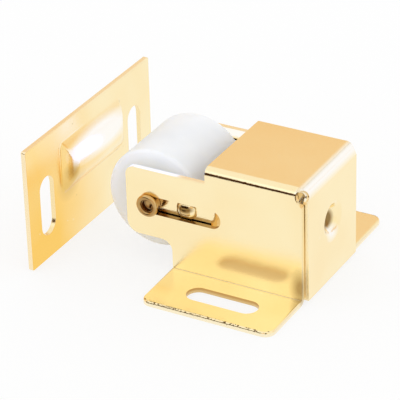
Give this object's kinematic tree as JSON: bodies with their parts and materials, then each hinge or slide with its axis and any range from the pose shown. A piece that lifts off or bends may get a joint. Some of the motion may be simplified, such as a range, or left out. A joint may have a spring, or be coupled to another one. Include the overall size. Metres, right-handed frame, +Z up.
{
  "type": "roller catch",
  "caption": "Spring-loaded door roller catch: folded brass-plated housing with screw flanges, sliding yoke with a nylon roller on a riveted axle, and a ridged strike plate.",
  "frame": {"origin": "middle of the two flanges, on the mounting face", "axes": "+Y from the roller to the back flap, along the roller's travel; +Z up from the mounting face; X across, along the axle"},
  "size_m": [0.0476, 0.0526, 0.0252],
  "materials": {
    "brass_housing": "bright brass-plated steel sheet, fine satin speckle",
    "brass_yoke": "bright brass-plated steel sheet",
    "nylon": "smooth white translucent nylon",
    "bronze_axle": "dull bronze semi-tubular rivet",
    "spring_steel": "drawn spring wire",
    "brass_strike": "bright brass-plated steel sheet"
  },
  "bodies": {
    "housing": {"housing": "brass_housing", "strike": "brass_strike", "spring": "spring_steel"},
    "carriage": {"yoke": "brass_yoke", "axle": "bronze_axle"},
    "roller": {"roller": "nylon"}
  },
  "joints": [
    {"name": "roller_push", "type": "slide", "parent": "housing", "child": "carriage", "axis": [0, 1, 0], "range_m": [0, 0.0055], "stiffness_N_per_m": 1500, "springref_m": -0.004, "deforming": ["spring"]},
    {"name": "roller_spin", "type": "hinge", "parent": "carriage", "child": "roller", "pos_m": [0, -0.0182, 0.01345], "axis": [1, 0, 0], "continuous": true}
  ]
}
